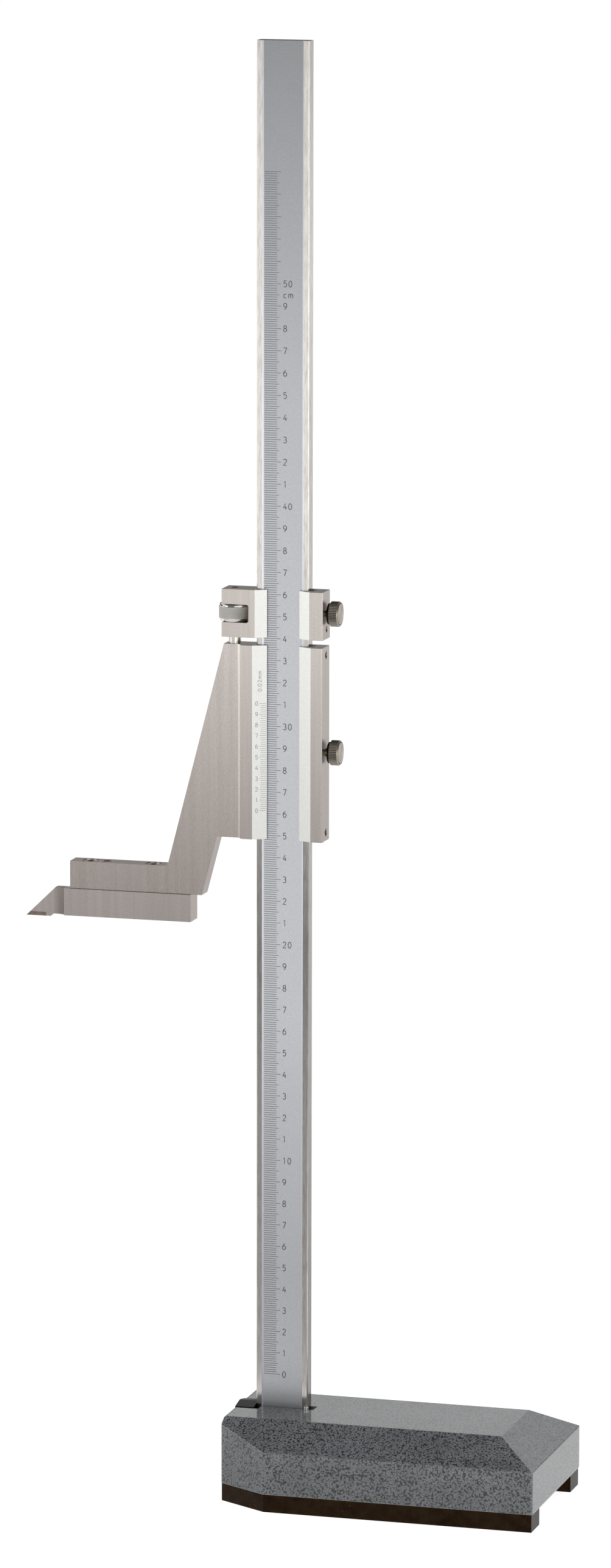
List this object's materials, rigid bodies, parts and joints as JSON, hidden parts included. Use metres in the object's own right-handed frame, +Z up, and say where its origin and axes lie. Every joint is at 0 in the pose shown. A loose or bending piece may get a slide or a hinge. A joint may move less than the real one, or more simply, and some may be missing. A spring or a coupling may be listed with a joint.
{
  "type": "vernier height gauge",
  "caption": "Height gauge with a painted base, a graduated beam, a slider with a scriber, and a fine-adjustment carriage with a nut and two thumb locks.",
  "frame": {"origin": "on the surface that the gauge stands on, under the middle of the beam", "axes": "+Z up along the beam; X along the base, with the scriber towards -X; the scale faces -Y"},
  "size_m": [0.2507, 0.088, 0.6623],
  "materials": {
    "hammertone_paint": "hammertone enamel over cast iron",
    "blued_steel": "browned, ground",
    "satin_steel": "satin chrome scale face, ground edges",
    "ground_steel": "surface ground",
    "black_oxide": "black oxide",
    "knurled_steel": "knurled and turned",
    "carbide": "ground carbide",
    "brass": "turned"
  },
  "bodies": {
    "base": {"base_casting": "hammertone_paint", "base_sole": "blued_steel", "sole_screws": "black_oxide", "beam": "satin_steel", "beam_clamp_block": "black_oxide", "beam_clamp_screws": "black_oxide", "beam_locating_pin": "satin_steel"},
    "slider": {"slider_frame": "ground_steel", "slider_gib": "ground_steel", "slider_gib_screws": "ground_steel", "scriber_blade": "ground_steel", "carbide_tip": "carbide", "scriber_screws": "ground_steel", "scriber_dowel": "ground_steel", "adjusting_screw": "satin_steel"},
    "fine_carriage": {"fine_block": "ground_steel", "fine_gib": "ground_steel", "fine_gib_screw": "ground_steel"},
    "nut": {"fine_nut": "knurled_steel"},
    "slider_plug": {"slider_lock_plug": "brass"},
    "slider_lock": {"slider_lock_screw": "knurled_steel"},
    "fine_plug": {"fine_lock_plug": "brass"},
    "fine_lock": {"fine_lock_screw": "knurled_steel"}
  },
  "joints": [
    {"name": "slider_travel", "type": "slide", "parent": "base", "child": "slider", "axis": [0, 0, 1], "range_m": [-0.2615, 0.2385]},
    {"name": "fine_travel", "type": "slide", "parent": "slider", "child": "fine_carriage", "axis": [0, 0, 1], "range_m": [-0.002, 0.0035]},
    {"name": "nut_spin", "type": "hinge", "parent": "fine_carriage", "child": "nut", "pos_m": [-0.0233, 0, 0.4052], "axis": [0, 0, 1], "range_deg": [-1440, 2520]},
    {"name": "slider_lock_slide", "type": "slide", "parent": "slider", "child": "slider_plug", "axis": [1, 0, 0], "range_m": [0, 0.0014]},
    {"name": "slider_lock_turn", "type": "hinge", "parent": "slider_plug", "child": "slider_lock", "pos_m": [0.024, 0, 0.3428], "axis": [1, 0, 0], "range_deg": [0, 720]},
    {"name": "fine_lock_slide", "type": "slide", "parent": "fine_carriage", "child": "fine_plug", "axis": [1, 0, 0], "range_m": [0, 0.0014]},
    {"name": "fine_lock_turn", "type": "hinge", "parent": "fine_plug", "child": "fine_lock", "pos_m": [0.0242, 0, 0.4059], "axis": [1, 0, 0], "range_deg": [0, 720]}
  ],
  "couplings": [
    {"joint": "nut_spin", "follows": "fine_travel", "rad_per_m": 12566},
    {"joint": "slider_lock_turn", "follows": "slider_lock_slide", "rad_per_m": 8976},
    {"joint": "fine_lock_turn", "follows": "fine_lock_slide", "rad_per_m": 8976}
  ]
}
